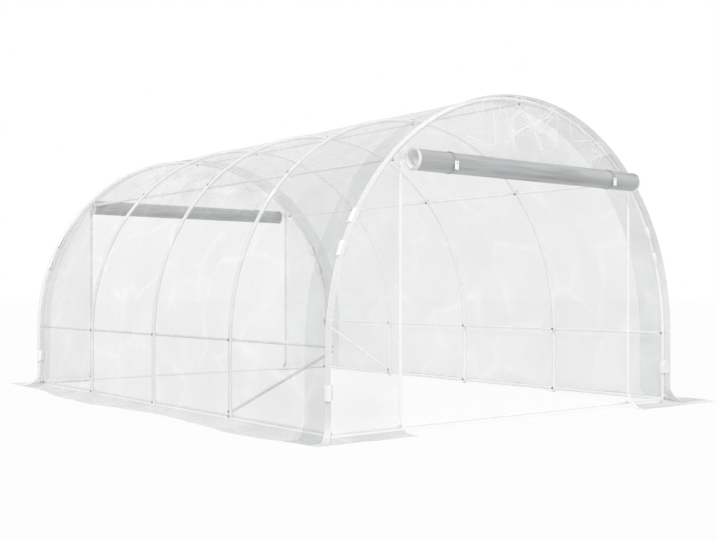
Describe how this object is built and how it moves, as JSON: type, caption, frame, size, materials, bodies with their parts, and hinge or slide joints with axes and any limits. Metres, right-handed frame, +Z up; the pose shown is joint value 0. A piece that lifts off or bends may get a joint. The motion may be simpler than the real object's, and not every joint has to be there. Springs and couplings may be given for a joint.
{
  "type": "polytunnel greenhouse",
  "caption": "Walk-in tunnel greenhouse: round-topped steel tube hoops and bars under a clear film cover, with open zipped doorways and the door sheets rolled up at both ends.",
  "frame": {"origin": "on the ground, in the middle of the tunnel's floor", "axes": "+X to the right as seen from the front door, +Y from the front door to the rear one, +Z up"},
  "size_m": [3.6056, 4.6, 2.0043],
  "materials": {
    "tube": "satin",
    "film": "satin",
    "rolled_film": "satin",
    "white_plastic": "matte"
  },
  "bodies": {
    "root": {"hoop_1_legs": "tube", "hoop_1_arches": "tube", "hoop_2_legs": "tube", "hoop_2_arches": "tube", "hoop_3_legs": "tube", "hoop_3_arches": "tube", "hoop_4_legs": "tube", "hoop_4_arches": "tube", "hoop_5_legs": "tube", "hoop_5_arches": "tube", "ridge_bars": "tube", "shoulder_bars_right": "tube", "shoulder_bars_left": "tube", "waist_bars_right": "tube", "waist_bars_left": "tube", "base_bars_right": "tube", "base_bars_left": "tube", "brace_left": "tube", "brace_right": "tube", "base_bar_front": "tube", "base_bar_rear": "tube", "cover_haunch_right": "film", "cover_crown_right": "film", "cover_crown_left": "film", "cover_haunch_left": "film", "cover_wall_right": "film", "cover_wall_left": "film", "skirt_right": "film", "skirt_left": "film", "front_skirts": "film", "rear_skirts": "film", "front_panel_left": "film", "front_panel_right": "film", "front_panel_top": "film", "rear_panel_left": "film", "rear_panel_right": "film", "rear_panel_top": "film", "front_door_roll": "rolled_film", "rear_door_roll": "rolled_film", "front_zips": "white_plastic", "rear_zips": "white_plastic", "front_cover_clips": "white_plastic", "rear_cover_clips": "white_plastic", "front_roll_ties": "white_plastic", "rear_roll_ties": "white_plastic"}
  },
  "joints": []
}
